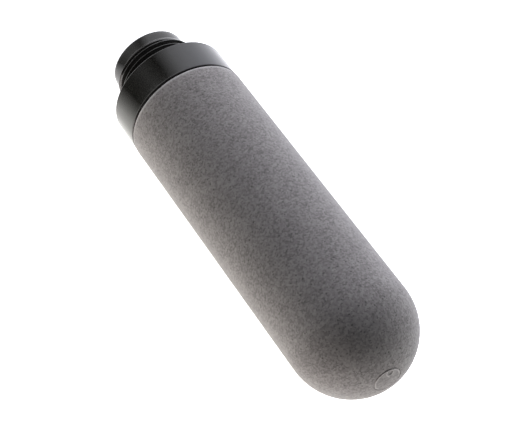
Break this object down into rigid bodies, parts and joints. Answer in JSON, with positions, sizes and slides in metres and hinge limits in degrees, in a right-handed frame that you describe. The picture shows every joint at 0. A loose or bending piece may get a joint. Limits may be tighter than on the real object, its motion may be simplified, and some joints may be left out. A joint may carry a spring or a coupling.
{
  "type": "pneumatic silencer",
  "caption": "Domed porous exhaust silencer pressed on a black moulded connector with a plain round collar and an external pipe thread.",
  "frame": {"origin": "centre of the flat end face of the threaded nipple, the lowest point when the silencer stands on its nipple", "axes": "+Z along the common axis, from the nipple's free end to the pole of the dome; +X and +Y square to it, with -Y on the side of the small dimple in the mould mark"},
  "size_m": [0.048, 0.048, 0.1745],
  "materials": {
    "moulded_acetal": "injection-moulded black acetal with a polished mould surface",
    "porous_polyethylene": "sintered grey polyethylene granules, fine open grain, no gloss"
  },
  "bodies": {
    "root": {"threaded_connector": "moulded_acetal", "porous_element": "porous_polyethylene"}
  },
  "joints": []
}
